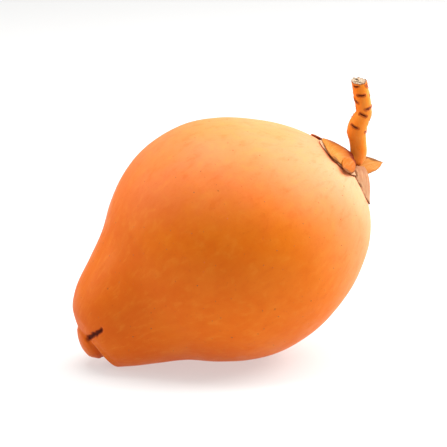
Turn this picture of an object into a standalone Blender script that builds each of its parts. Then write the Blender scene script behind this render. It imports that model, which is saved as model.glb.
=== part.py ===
"""A fresh king coconut, lying on its side the way it settles on a table: the belly and the nose touch down.

The husk is a pear-shaped body with a blunt nose at one end, which ends in a round knob behind a crease.
At the other end three sepals lie over three petals, and the cut piece of flower stalk stands up between them.
The husk and the bracts are made in the fruit's own frame: local Z runs from the nose to the stem end, local X
points down and local Y away from the viewer. An empty tilts that frame onto the table.
All sizes are in metres.
"""

from math import acos, atan2, cos, exp, pi, radians, sin, tan

import bmesh
import bpy
import numpy as np
from mathutils import Matrix, Vector

MM = 0.001

# Driving dimensions
HUSK_LENGTH = 0.1949  # nose to stem end, along the fruit
HUSK_WIDTH = 0.150  # across the widest ring
AXIS_TILT = radians(30.8)  # of the fruit's axis above the table
REST_DEPTH = 0.9 * MM  # how much the belly is flattened where it rests

# The husk's rings from nose to stem end: share of the length, share of the half width,
# and how far the ring's middle lies below a straight axis, in millimetres
OUTLINE = [
    (0.0, 0.0, 7.4),
    (0.0018, 0.06, 7.4),
    (0.0085, 0.12, 7.1),
    (0.02, 0.158, 6.4),
    (0.0315, 0.172, 5.7),
    (0.0365, 0.195, 5.2),
    (0.0415, 0.24, 4.7),
    (0.0515, 0.292, 4.0),
    (0.0706, 0.345, 3.1),
    (0.1075, 0.415, 1.8),
    (0.1766, 0.512, 0.5),
    (0.2509, 0.624, -0.5),
    (0.3253, 0.778, -1.2),
    (0.3997, 0.896, -1.45),
    (0.474, 0.97, -1.2),
    (0.5585, 1.0, -0.7),
    (0.6598, 0.977, 0.1),
    (0.7713, 0.871, 0.95),
    (0.858, 0.725, 1.5),
    (0.92, 0.574, 1.9),
    (0.9612, 0.421, 2.1),
    (0.9881, 0.26, 2.4),
    (0.999, 0.125, 2.5),
    (1.0, 0.0, 2.6),
]
HUSK_SEGMENTS, HUSK_RINGS = 72, 54
RING_CROWDING = 0.68  # 0 spaces the rings evenly, and 1 crowds them at both ends
RIDGE = 0.015  # how far the three ridges stand out, as a share of the radius
WAVE = 0.005  # a slow unevenness of the skin
NOSE_RING_TILT, STEM_RING_TILT = radians(5), radians(6.5)

# The crease round the knob is deepest on the side that faces the viewer and the table
CREASE_AT = 15.0 * MM  # along the skin, from the middle of the knob
CREASE_DEPTH, CREASE_LEAST, CREASE_WIDTH = 2.6 * MM, 0.2 * MM, 1.3 * MM
CREASE_SIDE, CREASE_SPREAD = radians(-32), radians(56)
LIP_HEIGHT, LIP_WIDTH = 2.3 * MM, 2.2 * MM
# The stigma's scar is a slit that starts at the crease and runs along the fruit
SCAR_SIDE = radians(-115)
SCAR_LENGTH, SCAR_DEPTH, SCAR_WIDTH = 17 * MM, 1.7 * MM, 1.6 * MM

# The bracts lie round the stalk, three petals on the skin and three sepals over them
BRACT_START = 6.5 * MM  # from the middle of the stem end to a bract's root
MARGIN_RISE = 0.7 * MM  # lifts the margin that lies over the next bract, and lowers the one that lies under
BRACT_GRID = (14, 10)
TIP_WIDTH = 1.2 * MM
MARGIN_SHARE = 0.65  # a bract's thickness at its margin, as a share of that at its middle
LIFT_START, LIFT_BEND = 1 * MM, 7 * MM  # where a bract's lift begins, and the length of its bend
# Angles are in degrees: side is that of the root and spread half of what it takes in, lean turns the tip
# from that side, and lift raises it.
# From tip_start on, a bract's height over the skin goes over to tip_height. A larger roundness is blunter.
# curl turns up the upper margin, and cupping both. over lifts the upper and the lower margin over the
# next bract where it is positive, and lowers it under the next one where it is negative.
PETAL = {"height": 1.1 * MM, "tip_height": 0.8 * MM, "tip_start": 0.8, "thickness": 0.85 * MM}
PETAL |= {"spread": 72, "roundness": (2.4, 0.6), "lift": 0, "lean": 0, "curl": 0.0, "cupping": 0.0}
PETAL |= {"over": (1, -1)}
SEPAL = {"height": 3.2 * MM, "tip_height": 3.0 * MM, "tip_start": 0.8, "thickness": 1.0 * MM}
SEPAL |= {"spread": 72, "roundness": (2.2, 0.65), "lift": 0, "lean": 0, "curl": 0.0, "cupping": 0.0}
BRACTS = {
    "petal_lower": PETAL | {"side": -6, "lean": -16, "reach": 28 * MM},
    "petal_far": PETAL | {"side": 116, "reach": 29 * MM},
    "petal_near": PETAL | {"side": -124, "reach": 28.5 * MM},
    "sepal_upper": SEPAL
    | {"side": -168, "lean": -6, "reach": 32 * MM, "tip_height": 1.0 * MM, "tip_start": 0.68}
    | {"over": (-1, -1)},
    "sepal_front": SEPAL
    | {"side": -108, "lean": -6, "spread": 46, "reach": 28.5 * MM, "height": 3.9 * MM, "roundness": (3, 0.6)}
    | {"curl": 0.6 * MM, "over": (1.6, -1)},
    "sepal_standing": SEPAL
    | {"side": 42, "spread": 60, "reach": 33 * MM, "height": 3.4 * MM, "roundness": (1.1, 1.1), "lift": 62}
    | {"curl": 0.6 * MM, "cupping": 1.2 * MM, "over": (1, 1)},
}

# The stalk, from the middle of the stem end: forward, up, radius
STALK = [
    (0.25, 0.21, 4.6),
    (2.5, 2.05, 4.7),
    (4.8, 3.9, 4.8),
    (6.1, 6.1, 4.8),
    (6.5, 9.1, 4.8),
    (6.2, 12.9, 4.8),
    (6.0, 16.6, 5.2),
    (5.6, 20.2, 5.9),
    (6.1, 23.9, 6.0),
    (7.7, 28.2, 5.5),
    (9.8, 32.0, 4.9),
    (9.9, 36.2, 4.9),
    (9.2, 41.1, 5.0),
    (8.5, 45.4, 4.9),
    (7.9, 49.1, 4.8),
    (7.3, 52.3, 4.7),
]
STALK_SIDES, STALK_RINGS = 24, 44
STALK_SWAY = 0.9 * MM  # its slight zigzag towards the viewer and away
CUT_TILT_FRONT, CUT_TILT_SIDE = radians(17), radians(7)
# Scars that the male flowers left: share of the stalk's length, degrees round it from the viewer's side
FLOWER_SCARS = [
    (0.384, 45), (0.447, -12), (0.565, 80), (0.568, 8), (0.653, 38),
    (0.758, -62), (0.790, -10), (0.788, 75), (0.925, 60), (0.930, -35),
    (0.420, 160), (0.470, -115), (0.560, -160), (0.620, -80), (0.660, 135),
    (0.720, -140), (0.800, 165), (0.860, 120), (0.880, -110),
]  # fmt: skip
FLOWER_LIP, FLOWER_NOTCH, FLOWER_WIDTH = 0.5 * MM, 0.6 * MM, 2.4 * MM

COLOURS = {  # colour, roughness
    "husk": ((0.82, 0.27, 0.035), 0.42),
    "bract": ((0.80, 0.36, 0.09), 0.62),
    "stalk": ((0.84, 0.26, 0.04), 0.5),
}


def smoothstep(low, high, x):
    t = min(max((x - low) / (high - low), 0.0), 1.0)
    return t * t * (3 - 2 * t)


def bell(x, width):
    return exp(-((x / width) ** 2))


def angle_between(a, b):
    """a less b, between -pi and pi."""
    return (a - b + pi) % (2 * pi) - pi


def smooth_curve(points, before, after, steps=24):
    """Points on a smooth curve through the given ones. before and after set its direction at the two ends."""
    p = np.array([before, *points, after], float)
    knots = np.concatenate([[0], np.cumsum(np.linalg.norm(np.diff(p, axis=0), axis=1))])
    found = []
    for i in range(1, len(p) - 2):
        span = knots[i + 1] - knots[i]
        leaving = (p[i + 1] - p[i - 1]) / (knots[i + 1] - knots[i - 1]) * span
        arriving = (p[i + 2] - p[i]) / (knots[i + 2] - knots[i]) * span
        for t in np.linspace(0, 1, steps, endpoint=False):
            found.append(
                (2 * t**3 - 3 * t**2 + 1) * p[i]
                + (t**3 - 2 * t**2 + t) * leaving
                + (3 * t**2 - 2 * t**3) * p[i + 1]
                + (t**3 - t**2) * arriving
            )
    return np.array([*found, p[-2]])


class EvenCurve:
    """A curve read by the share of its length, from 0 to 1."""

    def __init__(self, points):
        self.points = points
        runs = np.linalg.norm(np.diff(points, axis=0), axis=1)
        self.travel = np.concatenate([[0], np.cumsum(runs)])
        self.length = self.travel[-1]

    def at(self, share):
        travel = min(max(share, 0.0), 1.0) * self.length
        return np.array([np.interp(travel, self.travel, c) for c in self.points.T])

    def direction(self, share, step=0.002):
        run = self.at(min(share + step, 1.0)) - self.at(max(share - step, 0.0))
        return run / np.linalg.norm(run)


def husk_outline():
    """The outline as (along, out, drop), mirrored past both poles so that it meets the axis squarely."""
    points = [(along * HUSK_LENGTH, out * HUSK_WIDTH / 2, drop * MM) for along, out, drop in OUTLINE]
    before, after = [(along, -out, drop) for along, out, drop in (points[1], points[-2])]
    return EvenCurve(smooth_curve(points, before, after))


HUSK = husk_outline()


def nose_relief(travel, out, side):
    """How far the crease, its lip and the scar move the skin outwards. travel is from the knob's middle."""
    window = bell(angle_between(side, CREASE_SIDE), CREASE_SPREAD)
    crease = -(CREASE_LEAST + CREASE_DEPTH * window) * bell(travel - CREASE_AT, CREASE_WIDTH)
    lip = LIP_HEIGHT * window * bell(travel - CREASE_AT - 1.6 * LIP_WIDTH, LIP_WIDTH)
    off_line = out * angle_between(side, SCAR_SIDE)
    from_end = max(CREASE_AT - travel, travel - CREASE_AT - SCAR_LENGTH, 0.0)
    scar = -SCAR_DEPTH * bell(off_line, SCAR_WIDTH) * bell(from_end, SCAR_WIDTH)
    return crease + lip + scar


def husk_point(share, side):
    """The skin at this share of the outline, on this side of the fruit, in the fruit's frame."""
    along, out, drop = HUSK.at(share)
    run_along, run_out, _ = HUSK.direction(share)
    length_share = along / HUSK_LENGTH
    body = sin(pi * min(max(length_share, 0.0), 1.0))
    relief = nose_relief(share * HUSK.length, out, side)
    ridge = RIDGE * body * cos(3 * (side - pi))
    wave = WAVE * sin(2 * side + 0.7) * sin(4 * pi * length_share)
    out_there = out * (1 + ridge + wave) + relief * run_along
    along_there = along - relief * run_out
    ring_tilt = NOSE_RING_TILT * (1 - smoothstep(0.0, 0.2, length_share))
    ring_tilt += STEM_RING_TILT * smoothstep(0.6, 1.0, length_share)
    down = out_there * cos(side)
    middle = drop + RIDGE * body * out
    return Vector((middle + down, out_there * sin(side), along_there + down * sin(ring_tilt)))


def husk_normal(share, side):
    """Outwards from the skin, near the stem end."""
    step = 0.002
    here = min(max(share, step), 1 - step)
    along = husk_point(here + step, side) - husk_point(here - step, side)
    round_it = husk_point(here, side + 0.02) - husk_point(here, side - 0.02)
    return round_it.cross(along).normalized()


def belly_contact():
    """The belly's lowest point with the fruit tilted, in the fruit's frame."""
    down = Vector((cos(AXIS_TILT), 0, -sin(AXIS_TILT)))
    belly = [husk_point(share, 0.0) for share in np.linspace(0.25, 0.7, 400)]
    return max(belly, key=down.dot), down


def material(name, key):
    colour, roughness = COLOURS[key]
    made = bpy.data.materials.new(name)
    made.use_nodes = True
    shader = made.node_tree.nodes["Principled BSDF"]
    shader.inputs["Base Color"].default_value = (*colour, 1)
    shader.inputs["Roughness"].default_value = roughness
    shader.inputs["Metallic"].default_value = 0.0
    return made


def add_object(name, bm, key, collection, parent):
    mesh = bpy.data.meshes.new(name)
    bm.to_mesh(mesh)
    bm.free()
    mesh.shade_smooth()
    made = bpy.data.objects.new(name, mesh)
    made.data.materials.append(material(name + "_skin", key))
    collection.objects.link(made)
    made.parent = parent
    return made


def add_empty(name, collection, parent=None):
    made = bpy.data.objects.new(name, None)
    made.empty_display_size = 0.03
    collection.objects.link(made)
    made.parent = parent
    return made


def make_husk(collection, fruit):
    """A UV sphere whose rings are laid along the outline, flattened where the belly rests."""
    bm = bmesh.new()
    bmesh.ops.create_uvsphere(bm, u_segments=HUSK_SEGMENTS, v_segments=HUSK_RINGS, radius=1)
    contact, down = belly_contact()
    for vert in bm.verts:
        ring = acos(min(max(-vert.co.z, -1.0), 1.0)) / pi
        share = ring - RING_CROWDING * sin(2 * pi * ring) / (2 * pi)
        point = husk_point(share, atan2(vert.co.y, vert.co.x))
        below = (point - contact).dot(down) + REST_DEPTH
        vert.co = point - down * max(below, 0.0)
    bmesh.ops.recalc_face_normals(bm, faces=bm.faces)
    add_object("husk", bm, "husk", collection, fruit)


def bract_point(across, onward, bract):
    """A point on a bract's underside. across is -1 at its upper margin, and onward is 1 at its tip."""
    length = (bract["reach"] - BRACT_START) * onward
    early, late = bract["roundness"]
    spread = radians(bract["spread"])
    half_angle = spread * (1 - onward**early) ** late + TIP_WIDTH / 2 / bract["reach"]
    turn = across * half_angle
    bent = min(max(length - LIFT_START, 0.0), LIFT_BEND)
    past = bent**2 / (2 * LIFT_BEND) + max(length - LIFT_START - LIFT_BEND, 0.0)
    lift = radians(bract["lift"])
    travel = BRACT_START + length - (1 - cos(lift)) * past
    margin = bract["over"][0] if across < 0 else bract["over"][1]
    off_skin = bract["height"]
    off_skin += (bract["tip_height"] - bract["height"]) * smoothstep(bract["tip_start"], 1.0, onward)
    off_skin += sin(lift) * past + margin * MARGIN_RISE * abs(turn / spread) ** 1.4
    off_skin += bract["curl"] * smoothstep(0.45, 1.0, -across) * smoothstep(0.1, 0.6, onward)
    off_skin += bract["cupping"] * across**2 * sin(pi * min(onward, 0.95))
    share = 1 - travel / HUSK.length
    side = radians(bract["side"] + bract["lean"] * onward**2) + turn
    return husk_point(share, side) + husk_normal(share, side) * off_skin


def make_bract(collection, fruit, name, bract):
    """A leaf-shaped sheet that follows the skin, thinner towards its margins."""
    bm = bmesh.new()
    bmesh.ops.create_grid(bm, x_segments=BRACT_GRID[0], y_segments=BRACT_GRID[1], size=1)
    margins = []
    for vert in bm.verts:
        across, onward = vert.co.x, (vert.co.y + 1) / 2
        margins.append(max(abs(across) ** 3, smoothstep(0.6, 1.0, onward)))
        vert.co = bract_point(across, onward, bract)
    made = add_object(name, bm, "bract", collection, fruit)
    thick = made.vertex_groups.new(name="thick")
    for index, margin in enumerate(margins):
        thick.add([index], 1 - margin, "REPLACE")
    shell = made.modifiers.new("shell", "SOLIDIFY")
    shell.thickness = bract["thickness"]
    shell.offset = -1  # the grid faces the husk, so the bract thickens outwards
    shell.vertex_group = thick.name
    shell.thickness_vertex_group = MARGIN_SHARE


def stalk_relief(travel, turn, radius, length):
    """The lips and notches of the flowers' scars."""
    found = 0.0
    for share, degrees in FLOWER_SCARS:
        along = travel - share * length
        sideways = bell(radius * angle_between(turn, radians(degrees)), FLOWER_WIDTH)
        found += FLOWER_LIP * sideways * bell(along + 1.5 * MM, 1.5 * MM)
        found -= FLOWER_NOTCH * sideways * bell(along, 0.9 * MM)
    return found


def make_stalk(collection, root, stem_end):
    """A cylinder whose rings are laid along the stalk's path, cut off slanting at the top."""
    stations = [(x * MM, z * MM, r * MM) for x, z, r in STALK]
    path = EvenCurve(smooth_curve(stations, stations[0], stations[-1]))
    bm = bmesh.new()
    bmesh.ops.create_cone(bm, cap_ends=True, segments=STALK_SIDES, radius1=1, radius2=1, depth=1)
    for ring in range(1, STALK_RINGS):
        bmesh.ops.bisect_plane(
            bm,
            geom=bm.verts[:] + bm.edges[:] + bm.faces[:],
            plane_co=(0, 0, ring / STALK_RINGS - 0.5),
            plane_no=(0, 0, 1),
        )
    for vert in bm.verts:
        share = min(max(vert.co.z + 0.5, 0.0), 1.0)
        turn = atan2(vert.co.x, -vert.co.y)
        forward, up, radius = path.at(share)
        run_forward, run_up, _ = path.direction(share)
        steep = Vector((run_forward, 0, run_up)).normalized()
        sway = STALK_SWAY * sin(7.5 * share) * smoothstep(0.15, 0.4, share)
        out = radius + stalk_relief(share * path.length, turn, radius, path.length)
        outwards = Vector((steep.z * sin(turn), -cos(turn), -steep.x * sin(turn)))
        slant = -cos(turn) * tan(CUT_TILT_FRONT) - sin(turn) * tan(CUT_TILT_SIDE)
        slant *= out * smoothstep(0.93, 1.0, share)
        vert.co = Vector((forward, sway, up)) + outwards * out + steep * slant
    bmesh.ops.recalc_face_normals(bm, faces=bm.faces)
    stalk = add_object("stalk", bm, "stalk", collection, root)
    stalk.location = stem_end


def main():
    for old in list(bpy.data.objects):
        bpy.data.objects.remove(old)
    collection = bpy.data.collections.new("king_coconut")
    bpy.context.scene.collection.children.link(collection)

    contact, down = belly_contact()
    tilt = Matrix.Rotation(pi / 2 - AXIS_TILT, 3, "Y")
    ground = contact - down * REST_DEPTH
    root = add_empty("resting_point", collection)
    fruit = add_empty("fruit_axis", collection, root)
    fruit.rotation_euler = tilt.to_euler()
    fruit.location = -(tilt @ ground)

    make_husk(collection, fruit)
    for name, bract in BRACTS.items():
        make_bract(collection, fruit, name, bract)
    stem_end = tilt @ (husk_point(1.0, 0.0) - ground)
    make_stalk(collection, root, stem_end)


main()
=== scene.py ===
from math import cos, pi, radians, sin, tan

import bmesh
import bpy
import numpy as np
from mathutils import Matrix, Vector, noise


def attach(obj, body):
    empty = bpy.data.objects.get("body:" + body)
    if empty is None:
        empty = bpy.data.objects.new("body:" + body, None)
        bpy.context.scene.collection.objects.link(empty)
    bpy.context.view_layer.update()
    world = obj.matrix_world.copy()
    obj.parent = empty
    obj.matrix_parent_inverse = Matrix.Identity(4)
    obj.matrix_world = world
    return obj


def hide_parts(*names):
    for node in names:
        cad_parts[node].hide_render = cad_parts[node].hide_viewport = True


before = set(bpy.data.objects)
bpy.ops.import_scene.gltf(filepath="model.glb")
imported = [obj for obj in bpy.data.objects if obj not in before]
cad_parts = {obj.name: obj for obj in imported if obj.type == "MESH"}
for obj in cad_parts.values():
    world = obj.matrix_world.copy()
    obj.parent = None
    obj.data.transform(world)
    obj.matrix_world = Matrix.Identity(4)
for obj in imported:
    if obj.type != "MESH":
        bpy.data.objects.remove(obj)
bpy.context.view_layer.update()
mm = 0.001

# Camera: the direction it looks from, and how the photograph's frame sits on the fruit
camera = {
    "azimuth": radians(-13),
    "elevation": radians(14),
    "roll": radians(-0.6),
    "distance": 2.5,
    "imageWidth": 447,
    "metresPerPixel": 0.0006033,
    "lookAt": (0.0, 0.0, 0.08),
    "lookAtPixel": (224.6, 227.5),
    "sensor": 36,
}

# The husk, in the fruit's own frame: Z from nose to stem end, X down, Y away from the viewer
huskShape = {
    "length": 0.1949,
    "width": 0.150,
    "axisTilt": radians(30.8),
    "restDepth": 0.9 * mm,
    # share of the length, share of the half width, mm that the ring's middle lies below a straight axis
    "outline": [
        (0.0, 0.0, 7.4), (0.0018, 0.06, 7.4), (0.0085, 0.12, 7.1), (0.02, 0.158, 6.4),
        (0.0315, 0.172, 5.7), (0.0365, 0.195, 5.2), (0.0415, 0.24, 4.7), (0.0515, 0.292, 4.0),
        (0.0706, 0.345, 3.1), (0.1075, 0.415, 1.8), (0.1766, 0.512, 0.5), (0.2509, 0.624, -0.5),
        (0.3253, 0.778, -1.2), (0.3997, 0.896, -1.45), (0.474, 0.97, -1.2), (0.5585, 1.0, -0.7),
        (0.6598, 0.977, 0.1), (0.7713, 0.871, 0.95), (0.858, 0.725, 1.5), (0.92, 0.574, 1.9),
        (0.9612, 0.421, 2.1), (0.9881, 0.26, 2.4), (0.999, 0.125, 2.5), (1.0, 0.0, 2.6),
    ],
    "segments": 288,
    "rings": 320,
    "ringCrowding": 0.55,
    "ridge": 0.015,
    "wave": 0.005,
    "noseRingTilt": radians(5),
    "stemRingTilt": radians(6.5),
    "inset": 0.15 * mm,  # keeps the smooth skin inside the faceted one
    "dents": 0.22 * mm,
    "dentSize": 17 * mm,
    "furrows": 0.05 * mm,
    "furrowGrain": (11.0, 11.0, 1.6),
}

# The nose: the crease round its knob, the lip behind it and the stigma's slit, all by travel along the skin
nose = {
    "creaseAt": 15.0 * mm,
    "creaseDepth": 1.4 * mm,
    "creaseLeast": 0.05 * mm,
    "creaseWidth": 1.3 * mm,
    "creaseSide": radians(-32),
    "creaseSpread": radians(56),
    "creaseShift": 3.2 * mm,  # how much farther from the nose's middle the crease runs on the underside
    "lipHeight": 2.3 * mm,
    "lipWidth": 2.2 * mm,
    "lipOffset": 1.6,  # from the crease to the lip, in widths of the lip
    "underside": (0.15, 0.8),  # the side, and how far round it the lip is broad and low
    "underLip": (0.9, 2.0 * mm, 0.6),  # there: broader by, farther back by, lower by
    "underCrease": 0.7,  # there: shallower by
    "knobRise": 1.9 * mm,  # the knob's underside, higher than the outline
    "knobSpread": radians(62),
    "knobStart": (4 * mm, 10 * mm),
    "knobRamp": 12.5 * mm,  # how far behind the crease the underside comes down again
    "creaseShadeWidth": 6.0 * mm,  # of the painted shade round the crease
    "creaseShadeShift": 4.0 * mm,  # its middle lies this much nearer the knob
    "shoulderDip": 1.0 * mm,  # the knob's upper side, lower than the outline
    "shoulderAt": (10 * mm, 6.5 * mm, 0.9),  # travel, width, and how far round
    "neckFill": 0.7 * mm,  # where the knob runs into the body on its upper side
    "neckAt": (17 * mm, 3.2 * mm, 1.0),
    "scarAt": 16.2 * mm,
    "scarSides": (radians(-121), radians(-110)),
    "scarBow": radians(3.2),
    "scarWander": ((0.012, 1.9 * mm), (0.008, 0.8 * mm)),  # its waves: radians, and mm a radian of phase
    "scarLength": 16.5 * mm,
    "scarDepth": 1.5 * mm,
    "scarWidth": 1.6 * mm,
    "scarTaper": 0.012,  # narrower by this for each mm
    "scarSwell": (0.12, 1.5 * mm),
}


def smoothStep(low, high, x):
    t = np.clip((x - low) / (high - low), 0.0, 1.0)
    return t * t * (3 - 2 * t)


def bell(x, width):
    return np.exp(-((x / width) ** 2))


def angleBetween(a, b):
    return (a - b + pi) % (2 * pi) - pi


def bumpy(points, size, seed):  # smooth noise between about -1 and 1, one value for each point
    shift = Vector((seed * 7.3, seed * 3.1, seed * 5.7))
    return np.array([noise.noise(Vector(p) / size + shift) for p in np.asarray(points).tolist()])


def smoothCurve(points, before, after, steps=24):
    p = np.array([before, *points, after], float)
    knots = np.concatenate([[0], np.cumsum(np.linalg.norm(np.diff(p, axis=0), axis=1))])
    t = np.linspace(0, 1, steps, endpoint=False)[:, None]
    found = []
    for i in range(1, len(p) - 2):
        span = knots[i + 1] - knots[i]
        leaving = (p[i + 1] - p[i - 1]) / (knots[i + 1] - knots[i - 1]) * span
        arriving = (p[i + 2] - p[i]) / (knots[i + 2] - knots[i]) * span
        start = (2 * t**3 - 3 * t**2 + 1) * p[i] + (t**3 - 2 * t**2 + t) * leaving
        end = (3 * t**2 - 2 * t**3) * p[i + 1] + (t**3 - t**2) * arriving
        found.append(start + end)
    return np.concatenate([*found, p[-2:-1]])


class EvenCurve:  # a curve read by the share of its length
    def __init__(self, points):
        self.points = points
        self.travel = np.concatenate([[0], np.cumsum(np.linalg.norm(np.diff(points, axis=0), axis=1))])
        self.length = self.travel[-1]

    def at(self, share):
        travel = np.clip(share, 0.0, 1.0) * self.length
        return np.stack([np.interp(travel, self.travel, c) for c in self.points.T], -1)

    def direction(self, share, step=0.002):
        run = self.at(np.minimum(share + step, 1.0)) - self.at(np.maximum(share - step, 0.0))
        return run / np.linalg.norm(run, axis=-1, keepdims=True)


def huskOutline():
    length, halfWidth = huskShape["length"], huskShape["width"] / 2
    points = [(along * length, out * halfWidth, drop * mm) for along, out, drop in huskShape["outline"]]
    before, after = [(along, -out, drop) for along, out, drop in (points[1], points[-2])]
    return EvenCurve(smoothCurve(points, before, after))


outline = huskOutline()


def noseMasks(travel, out, side):  # window of the crease, the crease, its travel and the slit
    window = bell(angleBetween(side, nose["creaseSide"]), nose["creaseSpread"])
    creaseAt = nose["creaseAt"] + nose["creaseShift"] * window
    crease = bell(travel - creaseAt, nose["creaseWidth"])
    past = travel - nose["scarAt"]
    first, last = nose["scarSides"]
    scarSide = first + (last - first) * np.clip(past / nose["scarLength"], 0.0, 1.0)
    scarSide = scarSide + nose["scarBow"] * np.sin(pi * np.clip(past / nose["scarLength"], 0.0, 1.0))
    for height, wave in nose["scarWander"]:
        scarSide = scarSide + height * np.sin(past / wave)
    offLine = out * angleBetween(side, scarSide)
    fromEnd = np.maximum(np.maximum(-past, past - nose["scarLength"]), 0.0)
    height, wave = nose["scarSwell"]
    width = nose["scarWidth"] * (1.1 - nose["scarTaper"] * past / mm + height * np.sin(past / wave + 1))
    scar = bell(offLine, width) * bell(fromEnd, nose["scarWidth"])
    return window, crease, creaseAt, scar


def huskPoint(share, side):
    share, side = np.broadcast_arrays(np.asarray(share, float), np.asarray(side, float))
    along, out, drop = np.moveaxis(outline.at(share), -1, 0)
    runAlong, runOut = np.moveaxis(outline.direction(share), -1, 0)[:2]
    travel = share * outline.length
    lengthShare = along / huskShape["length"]
    window, crease, creaseAt, scar = noseMasks(travel, out, side)
    under = bell(angleBetween(side, nose["underside"][0]), nose["underside"][1])
    broader, farther, lower = nose["underLip"]
    lipWidth = nose["lipWidth"] * (1 + broader * under)
    lip = bell(travel - creaseAt - nose["lipOffset"] * lipWidth - farther * under, lipWidth)
    relief = nose["lipHeight"] * window * (1 - lower * under) * lip
    creaseDepth = nose["creaseDepth"] * window * (1 - nose["underCrease"] * under)
    relief = relief - (nose["creaseLeast"] + creaseDepth) * crease
    relief = relief - nose["scarDepth"] * scar
    onKnob = smoothStep(*nose["knobStart"], travel)
    onKnob = onKnob * (1 - smoothStep(0.0, nose["knobRamp"], travel - creaseAt))
    relief = relief - nose["knobRise"] * bell(angleBetween(side, 0.0), nose["knobSpread"]) * onKnob
    for height, place in ((-nose["shoulderDip"], "shoulderAt"), (nose["neckFill"], "neckAt")):
        middle, width, spread = nose[place]
        relief = relief + height * (bell(angleBetween(side, pi), spread) * bell(travel - middle, width))
    body = np.sin(pi * np.clip(lengthShare, 0.0, 1.0))
    ridge = huskShape["ridge"] * body * np.cos(3 * (side - pi))
    wave = huskShape["wave"] * np.sin(2 * side + 0.7) * np.sin(4 * pi * lengthShare)
    outThere = out * (1 + ridge + wave) + relief * runAlong
    alongThere = along - relief * runOut
    ringTilt = huskShape["noseRingTilt"] * (1 - smoothStep(0.0, 0.2, lengthShare))
    ringTilt = ringTilt + huskShape["stemRingTilt"] * smoothStep(0.6, 1.0, lengthShare)
    down = outThere * np.cos(side)
    middle = drop + huskShape["ridge"] * body * out
    return np.stack([middle + down, outThere * np.sin(side), alongThere + down * np.sin(ringTilt)], -1)


def huskNormal(share, side):
    step = 0.002
    here = np.clip(share, step, 1 - step)
    along = huskPoint(here + step, side) - huskPoint(here - step, side)
    roundIt = huskPoint(here, side + 0.02) - huskPoint(here, side - 0.02)
    found = np.cross(roundIt, along)
    return found / np.linalg.norm(found, axis=-1, keepdims=True)


def layOnTable():  # the fruit's frame to the row's: the belly's flat spot comes to the origin
    tilt = huskShape["axisTilt"]
    down = np.array([cos(tilt), 0, -sin(tilt)])
    belly = huskPoint(np.linspace(0.25, 0.7, 400), 0.0)
    contact = belly[np.argmax(belly @ down)]
    ground = contact - down * huskShape["restDepth"]
    turn = np.array(Matrix.Rotation(pi / 2 - tilt, 3, "Y"))
    return turn, ground, down


fruitTurn, fruitGround, fruitDown = layOnTable()


def toTable(points):
    return (points - fruitGround) @ fruitTurn.T


# Node helpers: every socket is set by name or linked
def addNode(tree, kind, inputs=None, **settings):
    node = tree.nodes.new(kind)
    for name, value in settings.items():
        setattr(node, name, value)
    for name, value in (inputs or {}).items():
        if isinstance(value, bpy.types.NodeSocket):
            tree.links.new(value, node.inputs[name])
        else:
            node.inputs[name].default_value = value
    return node


def sums(tree, operation, a, b=0.0, c=None, clamp=False):
    inputs = {0: a, 1: b}
    if c is not None:
        inputs[2] = c
    return addNode(tree, "ShaderNodeMath", inputs, operation=operation, use_clamp=clamp).outputs[0]


def vectorSums(tree, operation, a, b=(0, 0, 0)):
    return addNode(tree, "ShaderNodeVectorMath", {0: a, 1: b}, operation=operation).outputs[0]


def remap(tree, value, fromLow, fromHigh, toLow=0.0, toHigh=1.0):
    inputs = {"Value": value, "From Min": fromLow, "From Max": fromHigh, "To Min": toLow, "To Max": toHigh}
    return addNode(tree, "ShaderNodeMapRange", inputs, interpolation_type="SMOOTHSTEP").outputs["Result"]


def mixed(tree, share, a, b, blend="MIX"):
    inputs = {0: share, 6: a, 7: b}
    return addNode(tree, "ShaderNodeMix", inputs, data_type="RGBA", blend_type=blend).outputs[2]


def grainy(tree, vector, scale, detail=3.0, roughness=0.5, distortion=0.0):
    inputs = {"Vector": vector, "Scale": scale, "Detail": detail, "Roughness": roughness}
    inputs["Distortion"] = distortion
    return addNode(tree, "ShaderNodeTexNoise", inputs).outputs["Fac"]


def stretched(tree, vector, scale):
    return addNode(tree, "ShaderNodeMapping", {"Vector": vector, "Scale": scale}).outputs["Vector"]


def readValue(tree, name):
    return addNode(tree, "ShaderNodeAttribute", attribute_name=name).outputs["Fac"]


def readVector(tree, name):
    return addNode(tree, "ShaderNodeAttribute", attribute_name=name).outputs["Vector"]


def newGroup(name, inputs, outputs):
    tree = bpy.data.node_groups.new(name, "ShaderNodeTree")
    for label, kind, value in inputs:
        socket = tree.interface.new_socket(label, in_out="INPUT", socket_type=kind)
        if value is not None:
            socket.default_value = value
    for label, kind in outputs:
        tree.interface.new_socket(label, in_out="OUTPUT", socket_type=kind)
    return tree, tree.nodes.new("NodeGroupInput").outputs, tree.nodes.new("NodeGroupOutput").inputs


def useGroup(tree, group, inputs):
    node = tree.nodes.new("ShaderNodeGroup")
    node.node_tree = group
    for name, value in inputs.items():
        if isinstance(value, bpy.types.NodeSocket):
            tree.links.new(value, node.inputs[name])
        else:
            node.inputs[name].default_value = value
    return node.outputs


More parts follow.
